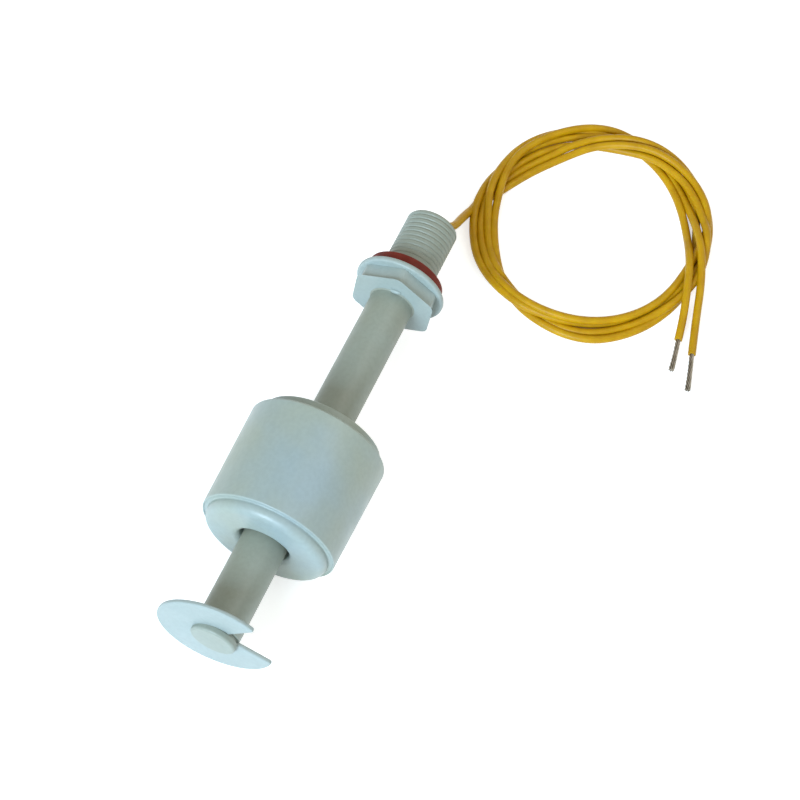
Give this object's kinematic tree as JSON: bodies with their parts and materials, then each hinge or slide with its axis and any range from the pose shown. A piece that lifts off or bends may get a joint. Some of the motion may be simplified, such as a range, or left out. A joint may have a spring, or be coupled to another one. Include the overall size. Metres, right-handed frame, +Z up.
{
  "type": "float level switch",
  "caption": "Vertical float level switch: threaded stud with hexagon, flange and gasket, round stem, sliding cylindrical float, retaining clip and coiled lead wires.",
  "frame": {"origin": "Under the middle of the switch without its wires, on the surface it lies on.", "axes": "+X along the stem towards the threaded stud, +Z up, +Y away from the coil of the wires."},
  "size_m": [0.1319, 0.0659, 0.025],
  "materials": {
    "housing": "satin moulded polypropylene",
    "clip": "satin moulded plastic",
    "float": "satin moulded polypropylene",
    "gasket": "matt silicone",
    "magnet": "sintered ferrite",
    "resin": "cast resin",
    "glass": "clear",
    "blade": "plated",
    "solder": "bright",
    "sleeve": "satin shrink sleeve",
    "insulation": "satin insulation",
    "conductor": "tinned strands"
  },
  "bodies": {
    "stem": {"stem_housing": "housing", "sealing_gasket": "gasket", "retaining_clip": "clip", "reed_glass": "glass", "reed_blade_upper": "blade", "reed_blade_lower": "blade", "solder_joint_upper": "solder", "sleeve_upper": "sleeve", "solder_link_lower": "solder", "lead_a_inner": "insulation", "lead_b_inner": "insulation", "potting": "resin", "wire_a_entry": "insulation", "wire_b_entry": "insulation", "wire_coil": "insulation", "wire_a_tail": "insulation", "wire_b_tail": "insulation", "wire_a_strands": "conductor", "wire_b_strands": "conductor"},
    "magnet": {"ring_magnet": "magnet"},
    "float": {"float_body": "float", "float_cap": "float"}
  },
  "joints": [
    {"name": "float_slide", "type": "slide", "parent": "stem", "child": "magnet", "axis": [1, 0, 0], "range_m": [-0.0158, 0.0287]},
    {"name": "float_spin", "type": "hinge", "parent": "magnet", "child": "float", "pos_m": [-0.0143, 0, 0.0125], "axis": [1, 0, 0], "continuous": true}
  ]
}
